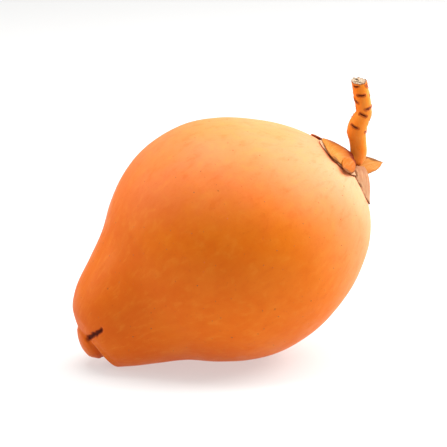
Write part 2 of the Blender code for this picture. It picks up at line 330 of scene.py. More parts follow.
# Shared effects
def makeFleckGroup():  # small round specks on a share of the cells of a grid
    tree, given, out = newGroup(
        "brownFlecks",
        [("Vector", "NodeSocketVector", None), ("Scale", "NodeSocketFloat", 150.0),
         ("Radius", "NodeSocketFloat", 0.2), ("Rarity", "NodeSocketFloat", 0.7)],
        [("Mask", "NodeSocketFloat")],
    )
    wobble = addNode(tree, "ShaderNodeTexNoise", {"Vector": given["Vector"], "Scale": 900.0, "Detail": 2.0})
    shift = vectorSums(tree, "SCALE", wobble.outputs["Color"])
    shift.node.inputs["Scale"].default_value = 0.0012
    moved = vectorSums(tree, "ADD", given["Vector"], shift)
    cells = addNode(tree, "ShaderNodeTexVoronoi", {"Vector": moved, "Scale": given["Scale"]})
    chance = addNode(tree, "ShaderNodeSeparateColor", {0: cells.outputs["Color"]})
    size = sums(tree, "MULTIPLY", given["Radius"], sums(tree, "ADD", chance.outputs[1], 0.3))
    offSpot = remap(tree, sums(tree, "DIVIDE", cells.outputs["Distance"], size), 0.6, 1.0)
    spot = sums(tree, "SUBTRACT", 1.0, offSpot)
    picked = sums(tree, "GREATER_THAN", chance.outputs[0], given["Rarity"])
    tree.links.new(sums(tree, "MULTIPLY", spot, picked), out["Mask"])
    return tree


def makeFibreGroup():  # streaks that run along a piece's third axis
    tree, given, out = newGroup(
        "lengthwiseFibres",
        [("Vector", "NodeSocketVector", None), ("Around", "NodeSocketFloat", 40.0),
         ("Along", "NodeSocketFloat", 30.0)],
        [("Mask", "NodeSocketFloat")],
    )
    parts = addNode(tree, "ShaderNodeSeparateXYZ", {0: given["Vector"]}).outputs
    across = [sums(tree, "MULTIPLY", parts[i], given["Around"]) for i in (0, 1)]
    along = sums(tree, "MULTIPLY", parts[2], given["Along"])
    joined = addNode(tree, "ShaderNodeCombineXYZ", {0: across[0], 1: across[1], 2: along}).outputs[0]
    tree.links.new(grainy(tree, joined, 1.0, 4.0, 0.55, 0.3), out["Mask"])
    return tree


def makeMottleGroup():  # soft cloudy patches, stretched a little along the fruit
    tree, given, out = newGroup(
        "softMottle",
        [("Vector", "NodeSocketVector", None), ("Scale", "NodeSocketFloat", 60.0)],
        [("Mask", "NodeSocketFloat")],
    )
    broad = grainy(tree, given["Vector"], given["Scale"], 3.0, 0.5, 0.4)
    finer = grainy(tree, given["Vector"], sums(tree, "MULTIPLY", given["Scale"], 3.7), 3.0, 0.6)
    both = sums(tree, "MULTIPLY_ADD", finer, 0.35, sums(tree, "MULTIPLY", broad, 0.65))
    tree.links.new(remap(tree, both, 0.34, 0.66), out["Mask"])
    return tree


brownFlecks, lengthwiseFibres, softMottle = makeFleckGroup(), makeFibreGroup(), makeMottleGroup()


def newMaterial(name, settings):
    made = bpy.data.materials.new(name)
    made.use_nodes = True
    tree = made.node_tree
    shader = tree.nodes["Principled BSDF"]
    for socket, value in settings.items():
        shader.inputs[socket].default_value = value
    place = addNode(tree, "ShaderNodeTexCoord").outputs["Object"]
    return made, tree, shader, place


def fleckMask(tree, place, sizes):
    inputs = {"Vector": place} | dict(zip(("Scale", "Radius", "Rarity"), sizes))
    return useGroup(tree, brownFlecks, inputs)["Mask"]


def fibreMask(tree, vector, scales):
    inputs = {"Vector": vector} | dict(zip(("Around", "Along"), scales))
    return useGroup(tree, lengthwiseFibres, inputs)["Mask"]


def mottleMask(tree, place, scale):
    return useGroup(tree, softMottle, {"Vector": place, "Scale": scale})["Mask"]


def broken(tree, mask, cloud, amount):  # a mask with its border broken up by noise
    return sums(tree, "MULTIPLY_ADD", cloud, amount, sums(tree, "ADD", mask, -amount / 2))


def paint(tree, shader, colour, masks, finish):  # lays colour over colour, then adds the fine relief
    for mask, reach, over in finish["layers"]:
        if len(reach) == 1:
            share = sums(tree, "MULTIPLY", masks[mask], reach[0])
        else:
            share = remap(tree, masks[mask], *reach)
        colour = mixed(tree, share, colour, finish[over])
    tree.links.new(colour, shader.inputs["Base Color"])
    total = 0.0
    for mask, weight in finish["relief"].items():
        total = sums(tree, "MULTIPLY_ADD", masks[mask], weight, total)
    bumpInputs = {"Height": total, "Strength": 1.0, "Distance": finish["reliefDepth"]}
    bump = addNode(tree, "ShaderNodeBump", bumpInputs)
    tree.links.new(bump.outputs["Normal"], shader.inputs["Normal"])


# Finishes. Colours are linear. Flecks have a scale, a radius and a rarity, fibres a scale around and along,
# and noise a scale, a detail and a roughness. A layer has its mask, its reach and its colour. The reach is
# one factor, or the mask's values where the layer starts and ends, with the least and most that it covers
huskFinish = {
    "orange": (0.80, 0.165, 0.003, 1),
    "yellower": (0.86, 0.258, 0.012, 1),
    "redder": (0.69, 0.115, 0.002, 1),
    "pale": (0.88, 0.36, 0.045, 1),
    # cream is a painted highlight: pale haze laid on the stem end and the top side
    "cream": (0.84, 0.332, 0.195, 1),
    "scarDark": (0.085, 0.012, 0.004, 1),
    "scarEdge": (0.34, 0.050, 0.012, 1),
    # painted shade on the knob beside the crease
    "creaseShade": (0.38, 0.045, 0.005, 1),
    "fleck": (0.24, 0.065, 0.012, 1),
    "mottle": 42.0,
    "streaks": (13.0, 12.0),
    "fine": (70.0, 60.0),
    "specks": (130.0, 0.09, 0.72),
    "dots": (420.0, 0.16, 0.8),
    "grit": (900.0, 3.0, 0.6),
    "tear": (520.0, 4.0, 0.65),
    "tearAmount": 1.1,
    "layers": [
        ("lengthShare", (0.0, 0.8), "orange"),
        ("lengthShare", (0.55, 1.0, 0.0, 0.5), "yellower"),
        # paler towards the stem end and on the top side: painted highlight
        ("lengthShare", (0.68, 1.0, 0.0, 0.6), "cream"),
        ("height", (0.085, 0.150, 0.0, 0.4), "cream"),
        ("mottle", (0.22,), "yellower"),
        ("streaks", (0.5, 0.75, 0.0, 0.30), "redder"),
        ("streaks", (0.5, 0.25, 0.0, 0.16), "pale"),
        ("fine", (0.5, 0.78, 0.0, 0.16), "redder"),
        ("dots", (0.16,), "fleck"),
        ("specks", (0.45,), "fleck"),
        # painted shade beside the crease
        ("creaseShade", (0.7,), "creaseShade"),
        # the crease darkened with the scar's edge colour: painted shade in the groove
        ("crease", (0.65,), "scarEdge"),
        ("ragged", (0.10, 0.60, 0.0, 0.9), "scarEdge"),
        ("ragged", (0.45, 0.90), "scarDark"),
    ],
    "relief": {"grit": 0.05, "fine": 0.10, "streaks": 0.25, "mottle": 0.12, "specks": 0.08},
    "reliefDepth": 0.5 * mm,
    "gloss": (0.54, 0.42),
    "scarGloss": (0.2, 0.5, 0.0, 0.4),
    "settings": {"Coat Weight": 0.0, "Specular IOR Level": 0.15, "IOR": 1.45, "Subsurface Weight": 0.03,
                 "Subsurface Radius": (0.004, 0.001, 0.0002)},
}


def makeHuskMaterial():
    made, tree, shader, place = newMaterial("waxyHusk", huskFinish["settings"])
    grain = readVector(tree, "grain")
    masks = {name: readValue(tree, name) for name in ("lengthShare", "scar", "crease", "creaseShade")}
    # the height mask lays the painted highlight on the top side
    masks["height"] = addNode(tree, "ShaderNodeSeparateXYZ", {0: place}).outputs[2]
    masks["mottle"] = mottleMask(tree, place, huskFinish["mottle"])
    masks["streaks"] = fibreMask(tree, grain, huskFinish["streaks"])
    masks["fine"] = fibreMask(tree, grain, huskFinish["fine"])
    masks["specks"] = fleckMask(tree, place, huskFinish["specks"])
    masks["dots"] = fleckMask(tree, place, huskFinish["dots"])
    masks["grit"] = grainy(tree, place, *huskFinish["grit"])
    tear = grainy(tree, place, *huskFinish["tear"])
    masks["ragged"] = broken(tree, masks["scar"], tear, huskFinish["tearAmount"])
    paint(tree, shader, huskFinish["redder"], masks, huskFinish)
    gloss = remap(tree, masks["mottle"], 0.0, 1.0, *huskFinish["gloss"])
    dull = remap(tree, masks["ragged"], *huskFinish["scarGloss"])
    tree.links.new(sums(tree, "ADD", dull, gloss, clamp=True), shader.inputs["Roughness"])
    return made


def keepAttribute(mesh, name, values, kind="FLOAT"):
    values = np.asarray(values, np.float32)
    field = "value" if kind == "FLOAT" else "vector"
    mesh.attributes.new(name, kind, "POINT").data.foreach_set(field, values.ravel())


def addPiece(name, mesh, material):
    piece = bpy.data.objects.new(name, mesh)
    bpy.context.scene.collection.objects.link(piece)
    mesh.materials.append(material)
    mesh.shade_smooth()
    return piece


def makeHusk(material):
    bm = bmesh.new()
    bmesh.ops.create_uvsphere(bm, u_segments=huskShape["segments"], v_segments=huskShape["rings"], radius=1)
    mesh = bpy.data.meshes.new("huskSkin")
    bm.to_mesh(mesh)
    bm.free()
    ball = np.zeros(len(mesh.vertices) * 3)
    mesh.vertices.foreach_get("co", ball)
    ball = ball.reshape(-1, 3)
    ring = np.arccos(np.clip(-ball[:, 2], -1, 1)) / pi
    share = ring - huskShape["ringCrowding"] * np.sin(2 * pi * ring) / (2 * pi)
    side = np.arctan2(ball[:, 1], ball[:, 0])
    skin = huskPoint(share, side)
    outwards = huskNormal(share, side)
    along, out = np.moveaxis(outline.at(share), -1, 0)[:2]
    travel = share * outline.length
    window, crease, creaseAt, scar = noseMasks(travel, out, side)
    grain = np.stack([np.cos(side), np.sin(side), travel * 10], -1)
    dents = bumpy(skin, huskShape["dentSize"], 1) * huskShape["dents"]
    furrows = bumpy(grain * huskShape["furrowGrain"], 1.0, 2) * huskShape["furrows"]
    stillness = smoothStep(0.0, 0.05, share) * (1 - smoothStep(0.95, 0.995, share))
    inwards = huskShape["inset"] + (np.abs(dents) + np.abs(furrows)) * stillness
    skin = skin - outwards * inwards[:, None]
    below = np.maximum(skin @ fruitDown - fruitGround @ fruitDown, 0.0)
    skin = toTable(skin - fruitDown * below[:, None])
    mesh.vertices.foreach_set("co", skin.astype(np.float32).ravel())
    keepAttribute(mesh, "grain", grain, "FLOAT_VECTOR")
    keepAttribute(mesh, "lengthShare", along / huskShape["length"])
    keepAttribute(mesh, "scar", scar)
    # the crease mask carries painted shade along the groove
    keepAttribute(mesh, "crease", crease * (0.1 + 0.9 * window))
    # painted shade on the knob beside the crease, its middle a little nearer the knob
    creaseShade = window * bell(travel - creaseAt + nose["creaseShadeShift"], nose["creaseShadeWidth"])
    keepAttribute(mesh, "creaseShade", creaseShade)
    mesh.update()
    piece = addPiece("huskSkin", mesh, material)
    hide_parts("husk")
    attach(piece, "root")
    return piece


# Bracts. Angles are in degrees: side is the root's and spread half of what it takes in, lean turns the tip
petal = {"height": 1.0 * mm, "tipHeight": 0.65 * mm, "tipStart": 0.75, "thickness": 0.8 * mm}
petal |= {"spread": 62, "roundness": (2.4, 0.6), "lift": 0, "lean": 0, "curl": 0.0, "cupping": 0.0}
petal |= {"over": (-0.5, -0.5), "tipWidth": 1.2 * mm, "tint": (0.62, 0.36, 0.21), "pallor": 0.4}
sepal = {"height": 3.0 * mm, "tipHeight": 1.9 * mm, "tipStart": 0.55, "thickness": 1.0 * mm}
sepal |= {"spread": 72, "roundness": (2.2, 0.65), "lift": 0, "lean": 0, "curl": 0.0, "cupping": 0.0}
sepal |= {"tipWidth": 1.2 * mm, "pallor": 0.3}
# Redness and the root's painted shade are strongest at the root, and the crevice side gets painted shade on
# the margin where across is below 0.
# The worn side browns that margin if it is above 0, or else the other one: wear, and on petal_lower painted
# shade along the gap under that margin. A blemish has its place and size
for kind in (petal, sepal):
    kind |= {"redness": 0.2, "wearAndShadeSide": 0.0, "creviceShade": 0.0, "blemishes": []}
# painted shade towards each bract's root
petal["rootShade"], sepal["rootShade"] = 0.2, 0.88
bracts = {
    "petal_lower": petal
    | {"side": -22, "lean": -8, "spread": 68, "reach": 28 * mm, "height": 6.7 * mm, "tipStart": 0.0}
    # its worn side browns the near margin as painted shade along the gap under it
    | {"over": (-6.5, -5), "tint": (0.42, 0.23, 0.12), "wearAndShadeSide": 0.12}
    | {"blemishes": [(-0.85, 0.68, 1.3)]},
    "petal_far": petal
    | {"side": 118, "lean": 14, "reach": 30 * mm, "tipHeight": 1.2 * mm, "over": (0.4, 0.9)},
    "petal_near": petal | {"side": -134, "spread": 57, "reach": 30.6 * mm, "tipHeight": 0.45 * mm},
    "sepal_upper": sepal
    | {"side": -142, "lean": 14, "spread": 60, "reach": 31.8 * mm, "roundness": (3.2, 1.6)}
    | {"height": 6.4 * mm, "tipHeight": 1.4 * mm, "tipStart": -0.3, "over": (-1, -6)}
    # its crevice side is painted shade beside the stalk
    | {"tipWidth": 6 * mm, "tint": (0.56, 0.215, 0.035), "redness": 0.9, "pallor": 0.2, "creviceShade": 0.95}
    | {"wearAndShadeSide": -0.12},
    "sepal_front": sepal
    | {"side": -107, "spread": 16, "reach": 31.2 * mm, "height": 4.7 * mm, "tipHeight": 1.8 * mm}
    | {"tipStart": -0.3, "roundness": (2.4, 0.7), "curl": 0.2 * mm, "over": (0.3, -1.6)}
    | {"tint": (0.47, 0.120, 0.006), "pallor": 0.15, "redness": 0.4, "wearAndShadeSide": -0.2},
    "sepal_standing": sepal
    | {"side": 44, "spread": 58, "reach": 32.2 * mm, "height": 3.4 * mm, "tipHeight": 3.2 * mm}
    | {"roundness": (1.0, 1.25), "lift": 64.5, "curl": 0.6 * mm, "cupping": 1.2 * mm, "over": (1, 1)}
    | {"tipStart": 0.8, "tint": (0.44, 0.185, 0.035), "wearAndShadeSide": -0.3},
}
bractShape = {
    "start": 6.5 * mm,
    "marginRise": 0.7 * mm,
    "marginShare": 0.45,
    "liftStart": 1 * mm,
    "liftBend": 7 * mm,
    "grid": (72, 64),
    "raggedness": 0.07,
    "fineTears": 0.35,
    "ribs": 0.07 * mm,
    "inset": 0.12 * mm,
}


def bractPoint(across, onward, bract, raised=0.0):
    reach, start = bract["reach"], bractShape["start"]
    length = (reach - start) * onward
    early, late = bract["roundness"]
    spread = radians(bract["spread"])
    halfAngle = spread * (1 - onward**early) ** late + bract["tipWidth"] / 2 / reach
    ragged = bumpy(np.stack([onward * 9, np.sign(across) * 3, 0 * across + bract["side"]], -1), 1.0, 3)
    fine = bumpy(np.stack([onward * 34, np.sign(across) * 3, 0 * across + bract["side"]], -1), 1.0, 4)
    tears = np.clip(0.5 + ragged, 0, 1) + bractShape["fineTears"] * np.clip(0.5 + fine, 0, 1)
    shrink = 1 - bractShape["raggedness"] * tears
    turn = across * halfAngle * (1 - (1 - shrink) * np.abs(across) ** 2)
    bend = bractShape["liftBend"]
    bent = np.clip(length - bractShape["liftStart"], 0.0, bend)
    past = bent**2 / (2 * bend) + np.maximum(length - bractShape["liftStart"] - bend, 0.0)
    lift = radians(bract["lift"])
    travel = start + length - (1 - cos(lift)) * past
    margin = np.where(across < 0, bract["over"][0], bract["over"][1])
    toTip = smoothStep(bract["tipStart"], 1.0, onward)
    offSkin = bract["height"] + (bract["tipHeight"] - bract["height"]) * toTip
    offSkin = offSkin + sin(lift) * past + margin * bractShape["marginRise"] * np.abs(turn / spread) ** 1.4
    offSkin = offSkin + bract["curl"] * smoothStep(0.45, 1.0, -across) * smoothStep(0.1, 0.6, onward)
    offSkin = offSkin + bract["cupping"] * across**2 * np.sin(pi * np.minimum(onward, 0.95))
    share = 1 - travel / outline.length
    side = radians(bract["side"]) + radians(bract["lean"]) * onward**2 + turn
    return huskPoint(share, side) + huskNormal(share, side) * (offSkin + raised)[..., None]


bractFinish = {
    "redder": (0.33, 0.066, 0.006, 1),
    "brown": (0.14, 0.050, 0.016, 1),
    # dark red for painted shade at the roots and beside the stalk
    "creviceShade": (0.13, 0.006, 0.001, 1),
    "pale": (0.62, 0.38, 0.20, 1),
    "fibres": (26.0, 2.2),
    "mottle": 150.0,
    "specks": (520.0, 0.22, 0.6),
    "patches": (230.0, 4.0, 0.65),
    "grit": (1500.0, 3.0, 0.6),
    "palestFibres": (0.52, 0.3),
    "rootShares": (0.32, 0.12),
    "broken": {"wearAndShade": 0.5, "blemish": 0.8, "root": 0.10},
    "layers": [
        ("mottle", (0.35,), "redder"),
        ("redness", (1.0,), "redder"),
        ("fibres", (0.5, 0.75, 0.0, 0.35), "redder"),
        ("palest", (1.0,), "pale"),
        ("specks", (0.35,), "brown"),
        ("wearAndShade", (0.99, 1.12, 0.0, 0.8), "brown"),
        ("blemish", (0.3, 0.75, 0.0, 0.85), "brown"),
        ("paintedShade", (1.0,), "creviceShade"),
    ],
    "relief": {"fibres": 0.6, "grit": 0.2},
    "reliefDepth": 0.35 * mm,
    "settings": {"Roughness": 0.75, "Specular IOR Level": 0.06},
}


def makeBractMaterial():
    made, tree, shader, place = newMaterial("dryBract", bractFinish["settings"])
    across, onward = addNode(tree, "ShaderNodeSeparateXYZ", {0: readVector(tree, "leaf")}).outputs[:2]
    patches = grainy(tree, place, *bractFinish["patches"])
    masks = {
        "redness": readValue(tree, "redness"),
        "fibres": fibreMask(tree, readVector(tree, "veins"), bractFinish["fibres"]),
        "mottle": mottleMask(tree, place, bractFinish["mottle"]),
        "specks": fleckMask(tree, place, bractFinish["specks"]),
        "grit": grainy(tree, place, *bractFinish["grit"]),
    }
    palest = remap(tree, masks["fibres"], *bractFinish["palestFibres"])
    masks["palest"] = sums(tree, "MULTIPLY", palest, readValue(tree, "pallor"))
    rim = sums(tree, "MAXIMUM", sums(tree, "ABSOLUTE", across), remap(tree, onward, 0.0, 1.0))
    # the rim browns the margins as wear; the worn side adds wear, and on petal_lower painted shade
    rim = sums(tree, "ADD", rim, readValue(tree, "wearAndShadeSide"))
    masks["wearAndShade"] = broken(tree, rim, patches, bractFinish["broken"]["wearAndShade"])
    masks["blemish"] = broken(tree, readValue(tree, "blemish"), patches, bractFinish["broken"]["blemish"])
    # painted shade towards the root, and beside the stalk on the crevice side
    root = broken(tree, onward, patches, bractFinish["broken"]["root"])
    root = remap(tree, root, *bractFinish["rootShares"])
    rootShade = sums(tree, "MULTIPLY", root, readValue(tree, "rootShade"))
    masks["paintedShade"] = sums(tree, "MAXIMUM", rootShade, readValue(tree, "creviceShadeSide"))
    paint(tree, shader, readVector(tree, "tint"), masks, bractFinish)
    return made


def makeBract(name, bract, material):
    bm = bmesh.new()
    columns, rows = bractShape["grid"]
    bmesh.ops.create_grid(bm, x_segments=columns, y_segments=rows, size=1)
    mesh = bpy.data.meshes.new(name)
    bm.to_mesh(mesh)
    bm.free()
    flat = np.zeros(len(mesh.vertices) * 3)
    mesh.vertices.foreach_get("co", flat)
    flat = flat.reshape(-1, 3)
    across, onward = flat[:, 0], (flat[:, 1] + 1) / 2
    ribs = bumpy(np.stack([across * 13, onward * 0.8, 0 * across + bract["side"]], -1), 1.0, 5)
    skin = bractPoint(across, onward, bract, ribs * bractShape["ribs"] - bractShape["inset"])
    mesh.vertices.foreach_set("co", toTable(skin).astype(np.float32).ravel())
    keepAttribute(mesh, "leaf", np.stack([across, onward, 0 * across], -1), "FLOAT_VECTOR")
    width = radians(bract["spread"]) * 0.6
    veins = np.stack([across * width, 0 * across + bract["side"], onward], -1)
    keepAttribute(mesh, "veins", veins, "FLOAT_VECTOR")
    keepAttribute(mesh, "tint", np.tile(bract["tint"], (len(across), 1)), "FLOAT_VECTOR")
    keepAttribute(mesh, "pallor", 0 * across + bract["pallor"])
    keepAttribute(mesh, "redness", bract["redness"] * (1 - smoothStep(0.2, 0.85, onward)))
    # wear, and on petal_lower painted shade along the gap under the margin
    wearAndShade = bract["wearAndShadeSide"]
    keepAttribute(mesh, "wearAndShadeSide", abs(wearAndShade) * smoothStep(0.0, 0.7, -across * np.sign(wearAndShade)))
    # painted shade on the margin beside the stalk, near the root
    creviceShadeSide = smoothStep(0.2, 0.75, -across) * (1 - smoothStep(0.4, 0.68, onward))
    keepAttribute(mesh, "creviceShadeSide", bract["creviceShade"] * creviceShadeSide)
    keepAttribute(mesh, "rootShade", 0 * across + bract["rootShade"])
    blemish = 0 * across
    for spotAcross, spotOnward, spotSize in bract["blemishes"]:
        offSpot = np.hypot((across - spotAcross) * 9, (onward - spotOnward) * 20)
        blemish = np.maximum(blemish, bell(offSpot, spotSize))
    keepAttribute(mesh, "blemish", blemish)
    piece = addPiece(name + "Leaf", mesh, material)
    thick = piece.vertex_groups.new(name="thick")
    for index, (x, y) in enumerate(zip(across.tolist(), onward.tolist())):
        thick.add([index], 1 - max(abs(x) ** 3, float(smoothStep(0.6, 1.0, y))), "REPLACE")
    shell = piece.modifiers.new("shell", "SOLIDIFY")
    shell.thickness = bract["thickness"]
    shell.offset = -1
    shell.vertex_group = thick.name
    shell.thickness_vertex_group = bractShape["marginShare"]
    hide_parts(name)
    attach(piece, "root")
    return piece


# Geometry Nodes: a tree gets named inputs, and ends in Realize Instances and Set Material
def newGeometryTree(name, inputs):
    tree = bpy.data.node_groups.new(name, "GeometryNodeTree")
    tree.interface.new_socket("Geometry", in_out="INPUT", socket_type="NodeSocketGeometry")
    tree.interface.new_socket("Geometry", in_out="OUTPUT", socket_type="NodeSocketGeometry")
    for label, kind in inputs:
        tree.interface.new_socket(label, in_out="INPUT", socket_type=kind)
    return tree, tree.nodes.new("NodeGroupInput").outputs, tree.nodes.new("NodeGroupOutput").inputs


def endTree(tree, geometry, material, out):
    whole = addNode(tree, "GeometryNodeRealizeInstances", {"Geometry": geometry}).outputs[0]
    smooth = addNode(tree, "GeometryNodeSetShadeSmooth", {"Geometry": whole}).outputs[0]
    coated = addNode(tree, "GeometryNodeSetMaterial", {"Geometry": smooth, "Material": material})
    tree.links.new(coated.outputs[0], out["Geometry"])


def growMesh(name, source, tree, values):  # runs a tree on a mesh and returns the result as a plain mesh
    carrier = bpy.data.objects.new(name + "Source", source)
    bpy.context.scene.collection.objects.link(carrier)
    modifier = carrier.modifiers.new("grow", "NODES")
    modifier.node_group = tree
    for socket in tree.interface.items_tree:
        if socket.in_out == "INPUT" and socket.name in values:
            modifier[socket.identifier] = values[socket.name]
    evaluated = carrier.evaluated_get(bpy.context.evaluated_depsgraph_get())
    mesh = bpy.data.meshes.new_from_object(evaluated)
    mesh.name = name
    carrier.modifiers.remove(modifier)
    bpy.data.objects.remove(carrier)
    return mesh


def addGrown(name, mesh):
    piece = bpy.data.objects.new(name, mesh)
    bpy.context.scene.collection.objects.link(piece)
    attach(piece, "root")
    return piece


# The stalk, from the middle of the stem end: mm forward, mm up, mm of radius
stalkShape = {
    "path": [
        (0.25, 0.21, 4.6), (2.5, 2.05, 4.8), (4.9, 3.9, 5.0), (6.4, 6.1, 5.1), (6.9, 9.1, 5.2),
        (6.7, 12.9, 5.2), (6.3, 16.6, 5.4), (5.7, 20.2, 5.9), (6.1, 23.9, 6.0), (7.7, 28.2, 5.5),
        (9.8, 32.0, 4.9), (9.9, 36.2, 4.9), (9.2, 41.1, 5.0), (8.5, 45.4, 4.9), (7.9, 49.1, 4.8),
        (7.3, 52.3, 4.7),
    ],
    "sides": 112,
    "rings": 300,
    "sway": 0.9 * mm,
    "cutFront": radians(17),
    "cutSide": radians(7),
    "cutTear": 3.2 * mm,
    "inset": 0.1 * mm,
    # each fallen flower's scar: share of the length, degrees round from the viewer's side, half of the
    # degrees that it takes in, share that its right end stands higher
    "flowers": [
        (0.855, -16, 30, -0.012), (0.800, -75, 24, -0.050), (0.705, 32, 36, 0.024), (0.628, -18, 30, -0.010),
        (0.636, 82, 20, 0.060), (0.843, 82, 20, 0.036), (0.482, -35, 28, -0.020), (0.434, 58, 18, 0.005),
        (0.925, 62, 22, -0.014), (0.560, 96, 26, 0.018), (0.900, 150, 32, 0.014), (0.860, -150, 34, 0.018),
        (0.760, 160, 34, -0.020), (0.700, -122, 30, 0.025), (0.610, 145, 34, 0.027),
        (0.570, -120, 30, -0.018), (0.500, 168, 34, 0.018), (0.455, 112, 28, -0.020),
        # the last two are dark marks just under the cut, drawn like the scars
        (0.410, -130, 30, 0.020), (0.966, 58, 26, 0.030), (0.962, -42, 18, -0.006),
    ],
    "flowerLip": 0.34 * mm,
    "flowerNotch": 0.65 * mm,
    "flowerRadius": 0.62 * mm,
    "flowerFade": 0.13,
    "flowerBow": 0.006,
    "furrows": 0.09 * mm,
}
stalkFinish = {
    "orange": (0.88, 0.235, 0.012, 1),
    "redder": (0.92, 0.185, 0.005, 1),
    "pale": (0.90, 0.38, 0.08, 1),
    "scar": (0.125, 0.027, 0.008, 1),
    "scarLip": (0.44, 0.075, 0.010, 1),
    "brown": (0.22, 0.07, 0.02, 1),
    "creviceShade": (0.26, 0.022, 0.006, 1),
    "streakStretch": (1.0, 1.0, 0.16),
    "streaks": (1100.0, 3.0, 0.6),
    "mottle": 170.0,
    "specks": (560.0, 0.2, 0.72),
    "tear": (900.0, 3.0, 0.6),
    "tearAmount": 1.8,
    "grit": (1600.0, 3.0, 0.6),
    "layers": [
        ("share", (0.05, 0.4), "orange"),
        ("mottle", (0.30,), "pale"),
        ("streaks", (0.52, 0.7, 0.0, 0.45), "redder"),
        ("specks", (0.45,), "brown"),
        ("ragged", (2.6, 1.5, 0.0, 0.75), "scarLip"),
        ("ragged", (1.2, 0.35, 0.0, 0.92), "scar"),
        ("share", (0.982, 0.999, 0.0, 0.75), "brown"),
        # darker at the stalk's base where it meets the bracts: painted shade
        ("share", (0.11, 0.05, 0.0, 0.85), "creviceShade"),
    ],
    "relief": {"streaks": 0.6, "grit": 0.3},
    "reliefDepth": 0.3 * mm,
    "settings": {"Roughness": 0.5, "Specular IOR Level": 0.12, "Subsurface Weight": 0.03,
                 "Subsurface Radius": (0.003, 0.0008, 0.0002)},
}


def makeStalkTree():
    tree, given, out = newGeometryTree("sweepStalk", [
        ("Sides", "NodeSocketInt"), ("Flowers", "NodeSocketObject"), ("Lip", "NodeSocketFloat"),
        ("Notch", "NodeSocketFloat"), ("Flower Radius", "NodeSocketFloat"), ("Furrows", "NodeSocketFloat"),
        ("Slant Front", "NodeSocketFloat"), ("Slant Side", "NodeSocketFloat"), ("Tear", "NodeSocketFloat"),
        ("Material", "NodeSocketMaterial"),
    ])

    def keep(geometry, name, value, kind):
        inputs = {"Geometry": geometry, "Name": name, "Value": value}
        node = addNode(tree, "GeometryNodeStoreNamedAttribute", inputs, data_type=kind, domain="POINT")
        return node.outputs[0]

    def recall(name, kind):
        return addNode(tree, "GeometryNodeInputNamedAttribute", {"Name": name}, data_type=kind).outputs[0]

    curve = addNode(tree, "GeometryNodeMeshToCurve", {"Mesh": given["Geometry"]}).outputs[0]
    curve = keep(curve, "share", addNode(tree, "GeometryNodeSplineParameter").outputs["Factor"], "FLOAT")
    curve = keep(curve, "core", addNode(tree, "GeometryNodeInputPosition").outputs[0], "FLOAT_VECTOR")
    curve = keep(curve, "run", addNode(tree, "GeometryNodeInputTangent").outputs[0], "FLOAT_VECTOR")
    ring = addNode(tree, "GeometryNodeCurvePrimitiveCircle", {"Resolution": given["Sides"], "Radius": 1.0})
    swept = {"Curve": curve, "Profile Curve": ring.outputs[0], "Fill Caps": True}
    swept["Scale"] = recall("width", "FLOAT")
    skin = addNode(tree, "GeometryNodeCurveToMesh", swept).outputs[0]

    place = addNode(tree, "GeometryNodeInputPosition").outputs[0]
    radial = vectorSums(tree, "SUBTRACT", place, recall("core", "FLOAT_VECTOR"))
    outwards = vectorSums(tree, "NORMALIZE", radial)
    share = recall("share", "FLOAT")
    flowers = addNode(tree, "GeometryNodeObjectInfo", {"Object": given["Flowers"]}).outputs["Geometry"]
    near = addNode(tree, "GeometryNodeProximity", {0: flowers}, target_element="EDGES").outputs["Distance"]
    reach = sums(tree, "DIVIDE", near, given["Flower Radius"])
    skin = keep(skin, "flower", reach, "FLOAT")
    pit = sums(tree, "EXPONENT", sums(tree, "MULTIPLY", sums(tree, "POWER", reach, 2.0), -1.2))
    offRim = sums(tree, "POWER", sums(tree, "SUBTRACT", reach, 1.35), 2.0)
    rim = sums(tree, "EXPONENT", sums(tree, "MULTIPLY", offRim, -4.5))
    along = sums(tree, "MULTIPLY", share, 5.0)
    parts = addNode(tree, "ShaderNodeSeparateXYZ", {0: outwards}).outputs
    furrowInputs = {i: sums(tree, "MULTIPLY", parts[i], 7.0) for i in (0, 1)} | {2: along}
    furrowPlace = addNode(tree, "ShaderNodeCombineXYZ", furrowInputs).outputs[0]
    furrow = sums(tree, "SUBTRACT", grainy(tree, furrowPlace, 1.0, 2.0), 0.62)
    relief = sums(tree, "MULTIPLY", rim, given["Lip"])
    relief = sums(tree, "SUBTRACT", relief, sums(tree, "MULTIPLY", pit, given["Notch"]))
    relief = sums(tree, "MULTIPLY_ADD", furrow, given["Furrows"], relief)
    across = addNode(tree, "ShaderNodeSeparateXYZ", {0: radial}).outputs
    slant = sums(tree, "MULTIPLY", across[1], given["Slant Front"])
    slant = sums(tree, "SUBTRACT", slant, sums(tree, "MULTIPLY", across[0], given["Slant Side"]))
    tear = sums(tree, "SUBTRACT", grainy(tree, place, 520.0, 3.0, 0.6), 0.6)
    slant = sums(tree, "MULTIPLY_ADD", tear, given["Tear"], slant)
    slant = sums(tree, "MULTIPLY", slant, remap(tree, share, 0.93, 1.0))
    push = vectorSums(tree, "SCALE", outwards)
    tree.links.new(relief, push.node.inputs["Scale"])
    shear = vectorSums(tree, "SCALE", recall("run", "FLOAT_VECTOR"))
    tree.links.new(slant, shear.node.inputs["Scale"])
    moved = {"Geometry": skin, "Offset": vectorSums(tree, "ADD", push, shear)}
    skin = addNode(tree, "GeometryNodeSetPosition", moved).outputs[0]
    endTree(tree, skin, given["Material"], out)
    return tree


